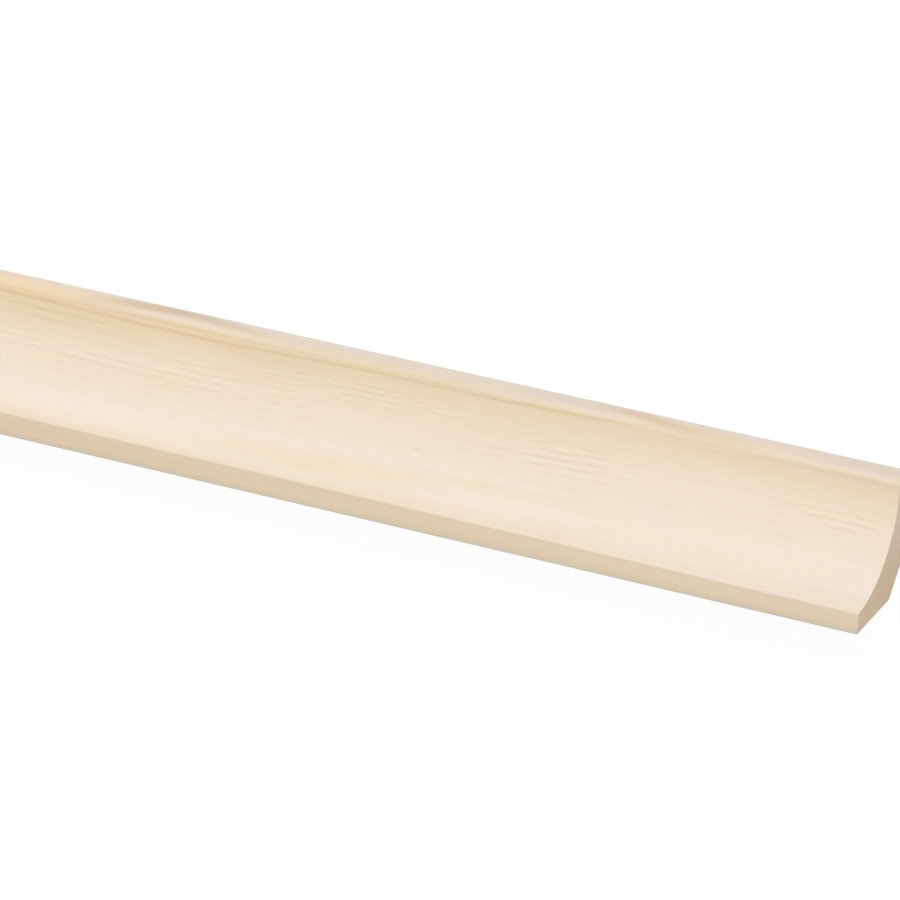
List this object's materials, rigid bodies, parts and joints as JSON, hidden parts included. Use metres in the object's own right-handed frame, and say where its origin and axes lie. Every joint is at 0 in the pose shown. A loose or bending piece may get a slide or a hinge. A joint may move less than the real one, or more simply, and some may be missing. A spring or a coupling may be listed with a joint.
{
  "type": "cove moulding",
  "caption": "Straight stick of clear pine cove moulding: a shallow hollow between narrow flats, with bevelled back edges that seat in the corner of a wall and a ceiling.",
  "frame": {"origin": "middle of the flat back, halfway along the stick", "axes": "+X along the stick, +Y across it, +Z out of the back towards the hollow"},
  "size_m": [2.4384, 0.041, 0.0158],
  "materials": {
    "clear_pine": "planed, unfinished"
  },
  "bodies": {
    "root": {"cove_moulding": "clear_pine"}
  },
  "joints": []
}
